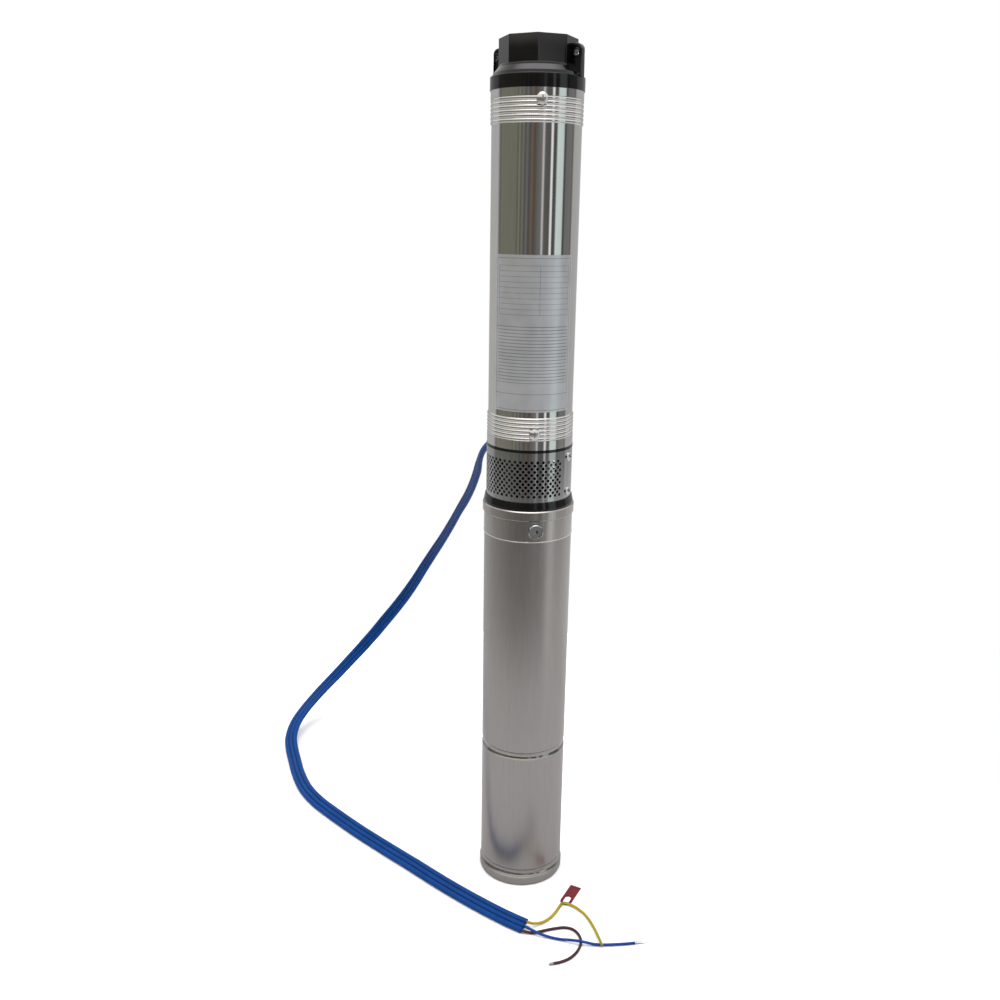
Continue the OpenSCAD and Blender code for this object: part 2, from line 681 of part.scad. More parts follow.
// Rubber disc that throws sand away from the seal.
module sand_slinger() {
  color([0.06, 0.06, 0.06]) rotate_extrude() polygon([[shaft_r + seat, z_seal + 23], [14, z_seal + 23],
    [14, z_motor + 2], [21, z_motor + 1], [21, z_motor + 2.5], [14, z_motor + 6],
    [shaft_r + seat, z_motor + 6]]);
}

// Motor shaft: journals, rotor seat and the hexagonal stub for the coupling.
module motor_shaft() {
  up_j = upper_size[2];
  low_j = lower_size[2];
  color([0.72, 0.72, 0.74]) union() {
    rotate_extrude() polygon([[0, z_low_bearing - 2], [low_j - 1, z_low_bearing - 2],
      [low_j, z_low_bearing - 1],
      [low_j, z_low_bearing + lower_size[0] + seat], [rotor_bore, z_low_bearing + lower_size[0] + seat],
      [rotor_bore, z_up_bearing - seat], [up_j, z_up_bearing - seat],
      [up_j, z_up_bearing + upper_size[0] + 1],
      [shaft_r, z_up_bearing + upper_size[0] + 1], [shaft_r, z_motor + 7],
      [0, z_motor + 7]]);
    translate([0, 0, z_motor + 6]) cylinder(r = stub_af / 2 / cos(30), h = z_stub - z_motor - 6, $fn = 6);
  }
}

// Rotor: laminated pack with cast end rings and balancing fins.
module rotor_core() {
  r = stator_bore / 2 - air_gap;
  color([0.45, 0.45, 0.47]) difference() {
    union() {
      ring(r, rotor_bore + seat, z_stack, stack_len);
      for (z = [z_stack - 6, z_stack + stack_len - 0.5]) ring(r - 0.5, 15, z, 6.5);
      for (a = [0:45:315]) rotate([0, 0, a]) for (z = [z_stack - 10, z_stack + stack_len + 5])
        translate([16, -1.2, z]) cube([6, 2.4, 5]);
    }
    translate([0, 0, z_stack - 20]) cylinder(r = rotor_bore + seat, h = stack_len + 40);
  }
}

// Ball bearing rings, with a groove for the balls.
module outer_race(z, size) {
  shoulder = size[3] + size[4] * 0.6;
  rotate_extrude() difference() {
    translate([shoulder, z]) square([size[1] - shoulder, size[0]]);
    translate([size[3], z + size[0] / 2]) circle(r = size[4] + seat);
  }
}

module inner_race(z, size) {
  bore = size[2] + seat;
  rotate_extrude() difference() {
    translate([bore, z]) square([size[3] - size[4] * 0.6 - bore, size[0]]);
    translate([size[3], z + size[0] / 2]) circle(r = size[4] + seat);
  }
}

// Balls in their cage.
module ball_train(z, size) {
  middle = z + size[0] / 2;
  for (a = [0:45:315]) rotate([0, 0, a]) translate([size[3], 0, middle]) sphere(r = size[4]);
  ring(size[3] + 0.7, size[3] - 0.7, middle - 1, 2);
}

module upper_bearing_outer() {
  color([0.7, 0.7, 0.72]) outer_race(z_up_bearing, upper_size);
}

module upper_bearing_balls() {
  color([0.85, 0.85, 0.87]) ball_train(z_up_bearing, upper_size);
}

module upper_bearing_inner() {
  color([0.7, 0.7, 0.72]) inner_race(z_up_bearing, upper_size);
}

module lower_bearing_outer() {
  color([0.7, 0.7, 0.72]) outer_race(z_low_bearing, lower_size);
}

module lower_bearing_balls() {
  color([0.85, 0.85, 0.87]) ball_train(z_low_bearing, lower_size);
}

module lower_bearing_inner() {
  color([0.7, 0.7, 0.72]) inner_race(z_low_bearing, lower_size);
}

// Stator stack with open slots.
module stator_core() {
  color([0.4, 0.4, 0.42]) translate([0, 0, z_stack]) linear_extrude(stack_len) difference() {
    circle(r = can_in - fit);
    circle(r = stator_bore / 2);
    for (i = [0:slots - 1]) rotate([0, 0, i * 360 / slots]) {
      translate([slot_r, -2.3]) square([slot_len, 4.6]);
      translate([stator_bore / 2 - 1, -1]) square([5, 2]);
    }
  }
}

// Copper winding: bars in the slots and bundled end turns.
module stator_windings() {
  color([0.72, 0.38, 0.18]) union() {
    for (i = [0:slots - 1]) rotate([0, 0, i * 360 / slots])
      translate([slot_r + run, -2, z_stack - turn_h / 2]) cube([slot_len - 2 * run, 4, stack_len + turn_h]);
    for (z = [z_stack - turn_h * 0.75, z_stack + stack_len + turn_h * 0.75]) translate([0, 0, z])
      rotate_extrude() translate([slot_r + slot_len / 2 + 1.5, 0]) {
        square([5.6, 10], center = true);
        for (x = [-2.8, 2.8]) translate([x, 0]) circle(r = 5);
      }
  }
}

// Motor can of drawn tube, with grooves rolled in over the lower bracket and over the base.
module motor_can() {
  color([0.74, 0.74, 0.76]) rotate_extrude() intersection() {
    difference() {
      union() {
        translate([can_in, z_can]) square([can_t, can_len]);
        for (z = [groove_z, foot_groove_z])
          translate([motor_r + groove_r - groove_depth, z]) circle(r = groove_r + can_t);
      }
      for (z = [groove_z, foot_groove_z])
        translate([motor_r + groove_r - groove_depth, z]) circle(r = groove_r);
    }
    translate([can_in - 5, z_can]) square([can_t + 5, can_len]);
  }
}

// Lower bearing bracket, held by the can's rolled groove.
module lower_bearing_bracket() {
  r = can_in - fit;
  waist = can_in - groove_depth - 0.5;
  color([0.5, 0.5, 0.52]) difference() {
    rotate_extrude() polygon([[0, groove_z - 9], [r, groove_z - 9], [r, groove_z - 6.5],
      [waist, groove_z - 5],
      [waist, groove_z + 5], [r, groove_z + 6.5], [r, groove_z + 10], [r - 6, groove_z + 10],
      [r - 7, groove_z + 2], [27, groove_z + 2], [25, groove_z + 17],
      [lower_size[1] + seat, groove_z + 17], [lower_size[1] + seat, z_low_bearing - seat],
      [12, z_low_bearing - seat], [12, z_low_bearing - 6], [0, z_low_bearing - 6]]);
    for (a = [45:90:315]) rotate([0, 0, a]) translate([33, 0, groove_z - 20]) cylinder(d = 8, h = 40);
  }
}

// Run capacitor in the lower chamber, with two flat terminals.
module capacitor() {
  r = cap_d / 2;
  color([0.85, 0.85, 0.83]) translate([0, 0, z_cap]) {
    rotate_extrude() polygon([[0, 0], [r - 1, 0], [r, 1], [r, cap_len - 2], [r - 2, cap_len], [0, cap_len]]);
    for (s = [-1, 1]) translate([s * r * 0.35 - 0.4, -3, cap_len - 1]) cube([0.8, 6, 10]);
  }
}

// Plastic cup that holds the capacitor on the bottom cover.
module capacitor_cup() {
  r = cap_d / 2;
  color([0.15, 0.15, 0.16]) translate([0, 0, z_cup]) rotate_extrude() polygon([[0, 0], [r + 2.5, 0],
    [r + 2.5, cup_h], [r + seat, cup_h], [r + seat, cup_t], [0, cup_t]]);
}

// Base of the motor: rolled foot, spigot in the can and a dished plate with vents.
module bottom_cover() {
  inner = can_in - groove_depth - 0.3;
  lip = can_in - fit;
  color([0.74, 0.74, 0.76]) difference() {
    rotate_extrude() difference() {
      polygon([[0, 5.4], [30, 3], [40, 0], [base_d / 2 - 3, 0], [base_d / 2 - 0.8, 0.9], [base_d / 2, 3],
        [base_d / 2, z_can - 1.4], [base_d / 2 - 1, z_can - seat], [inner, z_can - seat],
        [inner, z_can + 9.2], [lip, z_can + 11.4], [lip, z_can + 24], [lip - 4, z_can + 24],
        [lip - 5, z_can + plate_h], [0, z_can + plate_h]]);
      translate([0, 9]) square([34, z_can - 3]);
      translate([lip - 1.5, z_can + 17]) circle(r = 1.6);
    }
    for (a = [0:60:300]) rotate([0, 0, a]) translate([20, 0, -1]) cylinder(d = 4, h = 12);
  }
}

// Moulded rubber boot that leads the cable from the motor out through the strainer.
module cable_boot() {
  color([0.04, 0.04, 0.045]) union() {
    rotate([0, 0, boot_az]) translate([0, -boot_r, z_motor - 10]) linear_extrude(12)
      flat_oval(cable_w + 2 - 2 * fit, cable_t + 2 - 2 * fit);
    rotate([0, 0, boot_az]) translate([0, -boot_r, z_motor + seat]) linear_extrude(boot_z - z_motor)
      flat_oval(boot_w, 12);
    rotate([0, 0, boot_az]) translate([0, -boot_r + 6, boot_z]) rotate([90, 0, 0])
      linear_extrude(boot_end - boot_r + 6) flat_oval(boot_w, boot_h);
  }
}

// Flat three-core cable, hanging from the boot and lying on the floor.
module power_cable() {
  color([0.1, 0.35, 0.8]) sweep(cable_route, section(12, lobe, cable_t / 2), cable_face);
}

module core_earth() {
  color([0.55, 0.65, 0.1]) sweep(earth_route, section(8, 0, core_d / 2));
}

module core_live() {
  color([0.3, 0.15, 0.08]) sweep(live_route, section(8, 0, core_d / 2));
}

module core_neutral() {
  color([0.1, 0.3, 0.7]) sweep(neutral_route, section(8, 0, core_d / 2));
}

// Bare plastic tag threaded on the earth core by its oval eye.
module core_tag() {
  eye = tag_w / 2 + 0.1;
  color([0.75, 0.05, 0.05]) translate([55, -72, 0.05]) rotate([0, 0, 65]) linear_extrude(tag_t) difference() {
    union() {
      translate([-2.7, 0]) circle(d = tag_w);
      translate([-2.7, -tag_w / 2]) square([tag_len - 2.7, tag_w]);
    }
    flat_oval(2 * eye, tag_w * 0.54);
  }
}

discharge_head();
valve_seat();
valve_guide();
valve_poppet();
valve_seal();
valve_spring();
pump_shell();
shell_lock_screws();
upper_bearing_carrier();
upper_bearing_bush();
diffuser(1);  // diffuser_1
diffuser(2);  // diffuser_2
diffuser(3);  // diffuser_3
diffuser(4);  // diffuser_4
diffuser(5);  // diffuser_5
diffuser(6);  // diffuser_6
diffuser(7);  // diffuser_7
impeller(1);  // impeller_1
impeller(2);  // impeller_2
impeller(3);  // impeller_3
impeller(4);  // impeller_4
impeller(5);  // impeller_5
impeller(6);  // impeller_6
impeller(7);  // impeller_7
shaft_nut();
pump_shaft();
coupling();
intake_bracket();
strainer();
strainer_screws();
flange_bolts();
motor_top_cover();
can_orings();
oil_plug();
seal_seat();
seal_ring();
seal_bellows();
sand_slinger();
motor_shaft();
rotor_core();
upper_bearing_outer();
upper_bearing_balls();
upper_bearing_inner();
lower_bearing_outer();
lower_bearing_balls();
lower_bearing_inner();
stator_core();
stator_windings();
motor_can();
lower_bearing_bracket();
capacitor();
capacitor_cup();
bottom_cover();
cable_boot();
power_cable();
core_earth();
core_live();
core_neutral();
core_tag();
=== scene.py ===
"""Looks of the borehole submersible pump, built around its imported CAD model. Metres, +Z up, front -Y."""

import json
import math

import bpy
from mathutils import Matrix, Vector


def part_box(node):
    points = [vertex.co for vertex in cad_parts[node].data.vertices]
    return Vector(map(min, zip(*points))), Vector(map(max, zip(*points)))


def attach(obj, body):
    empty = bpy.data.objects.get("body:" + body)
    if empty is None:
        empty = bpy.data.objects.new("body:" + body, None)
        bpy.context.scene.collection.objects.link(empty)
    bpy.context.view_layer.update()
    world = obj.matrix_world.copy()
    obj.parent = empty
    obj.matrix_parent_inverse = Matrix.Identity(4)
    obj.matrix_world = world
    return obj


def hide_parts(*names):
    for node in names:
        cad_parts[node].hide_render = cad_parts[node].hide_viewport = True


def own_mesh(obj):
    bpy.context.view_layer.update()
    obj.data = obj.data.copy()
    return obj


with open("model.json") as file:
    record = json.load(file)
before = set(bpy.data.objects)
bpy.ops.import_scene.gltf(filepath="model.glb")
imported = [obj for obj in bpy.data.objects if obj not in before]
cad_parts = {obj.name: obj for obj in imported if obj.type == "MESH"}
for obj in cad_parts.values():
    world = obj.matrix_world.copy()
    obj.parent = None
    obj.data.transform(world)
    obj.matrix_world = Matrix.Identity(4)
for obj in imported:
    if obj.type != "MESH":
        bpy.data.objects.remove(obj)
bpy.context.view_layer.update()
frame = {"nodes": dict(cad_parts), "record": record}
nodes = frame["nodes"]
MM = 0.001

# Camera: place, tilt and lens of the photograph.
CAMERA_PLACE = (0.0, -1.0498, 0.7585)
CAMERA_DOWN = math.radians(15.985)
CAMERA_TURN = math.radians(1.694)
CAMERA_ROLL = math.radians(0.825)
SENSOR = 36.0
FOCAL_SHARE = 0.9941

camera_data = bpy.data.cameras.new("camera")
camera_data.sensor_width = SENSOR
camera_data.lens = SENSOR * FOCAL_SHARE
camera = bpy.data.objects.new("camera", camera_data)
bpy.context.scene.collection.objects.link(camera)
camera.matrix_world = (
    Matrix.Translation(CAMERA_PLACE)
    @ Matrix.Rotation(CAMERA_TURN, 4, "Z")
    @ Matrix.Rotation(math.pi / 2 - CAMERA_DOWN, 4, "X")
    @ Matrix.Rotation(CAMERA_ROLL, 4, "Z")
)
bpy.context.scene.camera = camera
bpy.context.scene.view_settings.view_transform = "Standard"


# Mesh helpers, in millimetres. A rounded corner takes up to this share of each side.
ROUND_MOST = 0.49


def mesh_object(name, points, faces, sharp_deg=35):
    """A smooth-shaded mesh, with edges over sharp_deg left sharp."""
    mesh = bpy.data.meshes.new(name)
    mesh.from_pydata([Vector(p) * MM for p in points], [], faces)
    mesh.validate()
    mesh.polygons.foreach_set("use_smooth", [True] * len(mesh.polygons))
    mesh.set_sharp_from_angle(angle=math.radians(sharp_deg))
    made = bpy.data.objects.new(name, mesh)
    bpy.context.scene.collection.objects.link(made)
    return made


def skin(loops, closed=False, caps=False):
    """Points and faces that skin a list of closed loops of equal length; closed joins the last to the first."""
    n = len(loops[0])
    points = [p for loop in loops for p in loop]
    faces = []
    for i in range(len(loops) if closed else len(loops) - 1):
        a, b = i * n, (i + 1) % len(loops) * n
        faces += [(a + j, a + (j + 1) % n, b + (j + 1) % n, b + j) for j in range(n)]
    if caps:
        faces += [tuple(range(n - 1, -1, -1)), tuple((len(loops) - 1) * n + j for j in range(n))]
    return points, faces


def joined(*shapes):
    """One list of points and faces from several."""
    points, faces = [], []
    for more_points, more_faces in shapes:
        faces += [tuple(k + len(points) for k in face) for face in more_faces]
        points += more_points
    return points, faces


def fillet(outline, steps=5):
    """A closed outline whose corners (x, y, radius) are rounded; a corner without a radius stays sharp."""
    made = []
    for i, corner in enumerate(outline):
        here = Vector(corner[:2])
        before = Vector(outline[i - 1][:2]) - here
        after = Vector(outline[(i + 1) % len(outline)][:2]) - here
        if len(corner) < 3:
            made.append(here)
            continue
        back = corner[2] / math.tan(before.angle(after) / 2)
        back = min(back, ROUND_MOST * before.length, ROUND_MOST * after.length)
        first, last = here + before.normalized() * back, here + after.normalized() * back
        for k in range(steps + 1):
            t = k / steps
            made.append(first * (1 - t) ** 2 + here * 2 * t * (1 - t) + last * t * t)
    return made


def circle(radius, n, start=0.0):
    turn = math.tau / n
    return [(radius * math.cos(start + turn * j), radius * math.sin(start + turn * j)) for j in range(n)]


def turned(profile, n=160):
    """A ring turned round the axis from a closed outline of (radius, height), outer side upwards."""
    return skin([[(*xy, z) for xy in circle(r, n)] for r, z in profile], closed=True)


def catmull(points, steps):
    """A smooth line through points, with steps pieces between each two."""
    p = [Vector(q) for q in points]
    p = [2 * p[0] - p[1], *p, 2 * p[-1] - p[-2]]
    line = []
    for i in range(1, len(p) - 2):
        for k in range(steps):
            t = k / steps
            line.append(0.5 * (2 * p[i] + (p[i + 1] - p[i - 1]) * t
                               + (2 * p[i - 1] - 5 * p[i] + 4 * p[i + 1] - p[i + 2]) * t * t
                               + (3 * p[i] - p[i - 1] - 3 * p[i + 1] + p[i + 2]) * t ** 3))
    return [*line, p[-2]]


def swept(line, sections, faces=(Vector((0, 0, 1)),)):
    """A closed tube along a line, its height turned to a face.

    sections and faces hold one item for the whole line, or one for each point."""
    loops = []
    for i, q in enumerate(line):
        along = (line[min(i + 1, len(line) - 1)] - line[max(i - 1, 0)]).normalized()
        wide = (faces[i] if len(faces) > 1 else faces[0]).cross(along).normalized()
        high = along.cross(wide)
        outline = sections[i] if len(sections) > 1 else sections[0]
        loops.append([q + a * wide + b * high for a, b in outline])
    return skin(loops, caps=True)


# Cable: three cores side by side in a flat blue sheath, and the cores' free ends.
CABLE_W, CABLE_T, CORE_D, CORD_GAP = 18.0, 6.0, 3.0, 0.02
LEAN = Vector((-0.2, -0.25, 0.95)).normalized()
BOOT_AZ, BOOT_END, BOOT_Z = math.radians(-145), 54.0, 508.0
BOOT_AXIS = Vector((math.sin(BOOT_AZ), -math.cos(BOOT_AZ), 0))
BOOT_FACE = BOOT_AXIS * (BOOT_END + CORD_GAP) + Vector((0, 0, BOOT_Z))
CABLE_ROUTE = [
    BOOT_FACE, BOOT_FACE + BOOT_AXIS * 10, (-47, 68, 504), (-56, 94, 487), (-62, 126, 462), (-70, 162, 433),
    (-80, 196, 405), (-92, 228, 378), (-105, 260, 348), (-121, 294, 314), (-137, 322, 283),
    (-153, 343, 253), (-169, 360, 223), (-185, 373, 196), (-203, 383, 169), (-221, 387, 145),
    (-238, 387, 123), (-256, 384, 102), (-274, 377, 83), (-291, 366, 66), (-308, 351, 51),
    (-322, 334, 39), (-334, 311, 29), (-342, 284, 20.5), (-342, 255, 14), (-336, 232, 9.2),
    (-327, 208, 6.2), (-313.5, 173, 5), (-296, 137, 5), (-275.5, 108.5, 5), (-252.5, 84.5, 5),
    (-208.5, 43.5, 5), (-167.5, 8.5, 5), (-127.5, -24.5, 5), (-89.5, -56.5, 5), (-53.5, -84.5, 5),
    (-18, -109.5, 5), (6, -124, 5)]
# Turn of the cable's flat side: route point, face.
CABLE_FACES = [
    (0, LEAN), (1, LEAN), (2, (-0.73, 0.01, 0.69)), (4, (-0.97, -0.23, -0.04)), (7, (-0.96, -0.23, 0.16)),
    (9, (-0.93, -0.35, 0.13)), (11, (-0.82, -0.56, 0.08)), (13, (-0.63, -0.77, 0.07)),
    (15, (-0.41, -0.88, 0.24)), (17, (-0.28, -0.84, 0.46)), (19, (-0.23, -0.62, 0.75)),
    (21, (-0.2, -0.37, 0.91)), (23, LEAN), (37, LEAN)]
EARTH_ROUTE = [
    (15.6, -119.8, 5.4), (20.6, -117.2, 3.7), (26, -113.6, 2.3), (33.5, -106.6, 1.6),
    (40, -97.5, 1.7), (44, -89.8, 2), (47, -83.6, 2.29), (48.3, -81.7, 2.29), (50.1, -80.5, 2.29),
    (52.2, -80.1, 2.29), (54.5, -80.5, 2.29), (59.5, -83, 2.2), (66, -87.5, 1.8), (74, -97, 1.6),
    (79.5, -108, 1.6), (84, -121, 1.8), (87, -134, 3.4), (88.6, -142, 4.6), (89.8, -149, 4.75)]
LIVE_ROUTE = [
    (9, -130.2, 2.4), (13, -130.5, 1.8), (17.4, -129.9, 1.6),
    (24, -127.6, 1.6), (31, -125, 1.6), (39, -122.4, 1.6), (50, -120, 1.6), (59, -122, 1.6), (65, -128.8, 1.6),
    (67.9, -138, 1.6), (67, -147.5, 1.6), (62.2, -158.5, 1.6), (54.5, -167.5, 1.6), (45.5, -173, 1.6),
    (37.8, -175.6, 1.6)]
NEUTRAL_ROUTE = [
    (11, -127.6, 5.1), (14.5, -130, 5), (19, -132.4, 4.6),
    (25, -134.4, 3.4), (36, -136.9, 1.8), (46, -139.2, 1.9), (54, -141.2, 3.2), (61, -143.5, 4.5),
    (67, -144.8, 4.8), (74, -145.5, 4), (82, -145.5, 2.2), (90, -145.1, 1.6), (102, -144.2, 1.6),
    (115, -142.5, 1.6), (126.5, -140.5, 1.6)]
# Points of an outer lobe and of one side of the middle lobe, and the angle in degrees at which two lobes meet.
LOBE_SAMPLES, VALLEY_SAMPLES, LOBE_MEET = 18, 9, 34
# Bare strands: radius, length inside the core, reach to the sides; highest root, step between roots, droop, bow.
STRAND_R, STRAND_SUNK, STRAND_APART = 0.28, 1.5, 0.9
STRAND_TOP, STRAND_STEP, STRAND_DROOP, STRAND_BOW = 0.5, 0.45, 0.06, 0.1


def lobed_section(width, height):
    """Outline of three equal lobes side by side, wider than a circle where the width asks for it."""
    r = height / 2
    lean = math.cos(math.radians(LOBE_MEET))
    half = width / 2 / (1 + 2 * lean)
    step = 2 * half * lean
    arcs = [(step, LOBE_MEET - 180, 180 - LOBE_MEET, LOBE_SAMPLES),
            (0, LOBE_MEET, 180 - LOBE_MEET, VALLEY_SAMPLES),
            (-step, LOBE_MEET, 360 - LOBE_MEET, LOBE_SAMPLES),
            (0, 180 + LOBE_MEET, 360 - LOBE_MEET, VALLEY_SAMPLES)]
    outline = []
    for middle, first, last, n in arcs:
        for j in range(n):
            a = math.radians(first + (last - first) * j / n)
            outline.append((middle + half * math.cos(a), r * math.sin(a)))
    return outline


def strands(name, line, spread, lengths):
    """Bare wire ends that fan out of a core's cut end, one tube for each length."""
    start = line[-1]
    along = (line[-1] - line[-2]).normalized()
    wide = Vector((-along.y, along.x, 0)).normalized()
    shapes = []
    for k, reach in enumerate(lengths):
        side = (k / (len(lengths) - 1) - 0.5) * 2
        lift = Vector((0, 0, STRAND_TOP - (k % 3) * STRAND_STEP))
        root = start - along * STRAND_SUNK + wide * side * STRAND_APART + lift
        tip = root + along * (reach + STRAND_SUNK) + wide * side * spread * reach
        tip.z = max(STRAND_R, root.z - STRAND_DROOP * reach)
        middle = (root + tip) / 2 + wide * side * STRAND_BOW * reach
        shapes.append(swept(catmull([root, middle, tip], 4), [circle(STRAND_R, 6)]))
    return mesh_object(name, *joined(*shapes))


def cable_turns(steps):
    """The cable's face at each point of its smooth line."""
    faces = []
    for (first, a), (last, b) in zip(CABLE_FACES, CABLE_FACES[1:]):
        n = (last - first) * steps
        faces += [Vector(a).lerp(Vector(b), k / n) for k in range(n)]
    return [*faces, LEAN]


def core_start(side):
    """First two points of the core in one of the cable's lobes, straight out of the sheath's cut end."""
    end = Vector(CABLE_ROUTE[-1])
    along = (end - Vector(CABLE_ROUTE[-2])).normalized()
    root = end + LEAN.cross(along).normalized() * side * (CABLE_W - CABLE_T) / 2
    return [root + along * CORD_GAP, root + along * 2]


STEPS, CORE_SIDES = 6, 20
cable_line = catmull(CABLE_ROUTE, STEPS)
cable_shape = swept(cable_line, [lobed_section(CABLE_W, CABLE_T)], cable_turns(STEPS))
cable = mesh_object("flat_cable", *cable_shape, sharp_deg=60)
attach(cable, "housing")
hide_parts("power_cable")

leads = []
for lead_name, side, rest, node, slot, spread, lengths in [
        ("earth_lead", 1, EARTH_ROUTE, "core_earth", "core_yellow_green", 0.05, (2.2, 2.6, 2.4, 2.5, 2.1)),
        ("live_lead", -1, LIVE_ROUTE, "core_live", "core_brown", 0.08, (4.5, 5.5, 6.0, 5.2, 4.2)),
        ("neutral_lead", 0, NEUTRAL_ROUTE, "core_neutral", "core_blue", 0.14, (4.0, 9.5, 14.0, 8.0, 5.0))]:
    route = core_start(side) + rest
    line = catmull(route, STEPS)
    lead = mesh_object(lead_name, *swept(line, [circle(CORE_D / 2, CORE_SIDES)]), sharp_deg=50)
    wires = strands(lead_name.replace("lead", "strands"), line, spread, lengths)
    for piece in (lead, wires):
        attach(piece, "housing")
    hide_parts(node)
    leads.append((lead, wires, slot))

# Tapered rubber nose over the boot's end, ribbed so that it bends with the cable: width and height at both ends;
# ribs, their depth, the share left plain; length on the boot, points on boot and cable, rings for each point.
NOSE_FIRST, NOSE_LAST = (20.4, 14.4), (18.8, 6.8)
NOSE_RIBS, NOSE_GROOVE, NOSE_PLAIN = 4, 0.9, 0.3
NOSE_STRAIGHT, BOOT_POINTS, NOSE_POINTS, NOSE_RINGS = 8.0, 5, 8, 4


def flat_oval(width, height, n=12):
    half = [(width / 2 - height / 2 + x, y) for x, y in circle(height / 2, 2 * n, -math.pi / 2)[:n + 1]]
    return half + [(-x, -y) for x, y in half]


def boot_nose():
    """Sleeve over the boot's end and the first stretch of cable, narrower at the groove after each rib."""
    line = [BOOT_FACE - BOOT_AXIS * NOSE_STRAIGHT * (1 - k / BOOT_POINTS) for k in range(BOOT_POINTS)]
    line += cable_line[:NOSE_POINTS]
    rings = [line[0]]
    for a, b in zip(line, line[1:]):
        rings += [a + (b - a) * k / NOSE_RINGS for k in range(1, NOSE_RINGS + 1)]
    sections = []
    for i in range(len(rings)):
        t = i / (len(rings) - 1)
        wave = max(0.0, math.sin(math.tau * NOSE_RIBS * t))
        notch = NOSE_GROOVE * wave ** 2 if t > NOSE_PLAIN else 0.0
        taper = max(0, t - NOSE_PLAIN) / (1 - NOSE_PLAIN)
        w, h = (a + (b - a) * taper - notch for a, b in zip(NOSE_FIRST, NOSE_LAST))
        sections.append(flat_oval(w, h))
    nose = mesh_object("boot_nose", *swept(rings, sections), sharp_deg=50)
    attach(nose, "housing")
    return nose


nose = boot_nose()

# Discharge head: band, shoulder, octagonal nut with a female pipe thread, and two rope ears.
BAND_Z, SHOULDER_Z, NUT_Z, TOP_Z = 875.0, 888.0, 898.5, 923.5
BAND_R, NUT_FLAT, NUT_TURN = 46.8, 35.85, math.radians(-1.3)
CHAMBER_R, CHAMBER_Z = 33.0, 886.0
NUT_ROUND, NUT_STEP, MOUTH_EDGE = 1.3, 1.6, 0.4
# Rounded upper edge of the nut: inset, depth under the top.
NUT_EDGE = [(0, 0.8), (0.08, 0.45), (0.3, 0.12), (0.8, 0)]
THREAD_MINOR, THREAD_DEPTH, THREAD_PITCH = 22.42, 1.48, 2.309
THREAD_SUNK, THREAD_MOUTH, THREAD_RINGS = 0.6, 1.2, 88
EAR_AZ, EAR_ROOT, EAR_REACH, EAR_T, EAR_TOP = math.radians(62.5), 30.0, 48.0, 9.0, 917.0
EAR_ROUND, EAR_STEP, EAR_RECESS = 6.5, 1.5, 1.6
EYE_R, EYE_Z, EYE_D = 43.2, 908.3, 5.0
# Profile of band and shoulder, up the outside and down the inside: radius, height, rounding of the corner.
BAND_PROFILE = [
    (CHAMBER_R + 5, BAND_Z), (BAND_R, BAND_Z, 0.5), (BAND_R, SHOULDER_Z, 1.3), (BAND_R - 1.9, SHOULDER_Z, 0.4),
    (BAND_R - 2.8, SHOULDER_Z + 2.8, 2.5), (BAND_R - 7.2, NUT_Z - 2.4, 2.5), (NUT_FLAT + 2.9, NUT_Z, 0.8),
    (THREAD_MINOR + 3, NUT_Z), (CHAMBER_R - 2, CHAMBER_Z), (CHAMBER_R, CHAMBER_Z), (CHAMBER_R, BAND_Z + 3),
    (CHAMBER_R + 5, BAND_Z + 3)]
# Raised rim of an ear: inset from its edge, depth under its face. Boss of its eye: width round the eye, depth.
EAR_RIM = [(0, 0.9), (0.25, 0.3), (0.9, 0), (2.4, 0), (2.9, 0.3), (3.2, EAR_RECESS)]
EYE_BOSS = [(2.0, EAR_RECESS), (1.8, 0.3), (1.3, 0), (0.4, 0), (0, 0.4)]


def finer(outline, step):
    """A closed outline with more points on its sides, about a step apart."""
    made = []
    for a, b in zip(outline, outline[1:] + outline[:1]):
        parts = max(1, round((b - a).length / step))
        made += [a + (b - a) * k / parts for k in range(parts)]
    return made


def nut():
    """Octagon with soft edges and the thread cut into its bore."""
    corner = NUT_FLAT / math.cos(math.pi / 8)
    outline = finer(fillet([(x, y, NUT_ROUND) for x, y in circle(corner, 8, NUT_TURN)]), NUT_STEP)
    loops = []
    for inset, z in [(0, NUT_Z - 1)] + [(inset, TOP_Z - under) for inset, under in NUT_EDGE]:
        loops.append([(*(p * (p.length - inset) / p.length), z) for p in outline])
    mouth = THREAD_MINOR + THREAD_DEPTH
    loops.append([(*(p.normalized() * (mouth + MOUTH_EDGE)), TOP_Z) for p in outline])
    first_z = TOP_Z - THREAD_SUNK
    for i in range(THREAD_RINGS + 1):
        z = first_z - i * (first_z - NUT_Z) / THREAD_RINGS
        ring = []
        for p in outline:
            phase = (z / THREAD_PITCH - math.atan2(p.y, p.x) / math.tau) % 1
            # A quarter of the pitch each for the root, the crest and the two flanks.
            cut = min(max(1.5 - abs(phase - 0.5) * 4, 0), 1)
            runout = min(1, (z - NUT_Z) / THREAD_PITCH)
            cone = max(0, 1 - (first_z - z) / THREAD_MOUTH) * THREAD_DEPTH
            radius = THREAD_MINOR + max(THREAD_DEPTH * cut * runout, cone)
            ring.append((*(p.normalized() * radius), z))
        loops.append(ring)
    return skin(loops, closed=True)


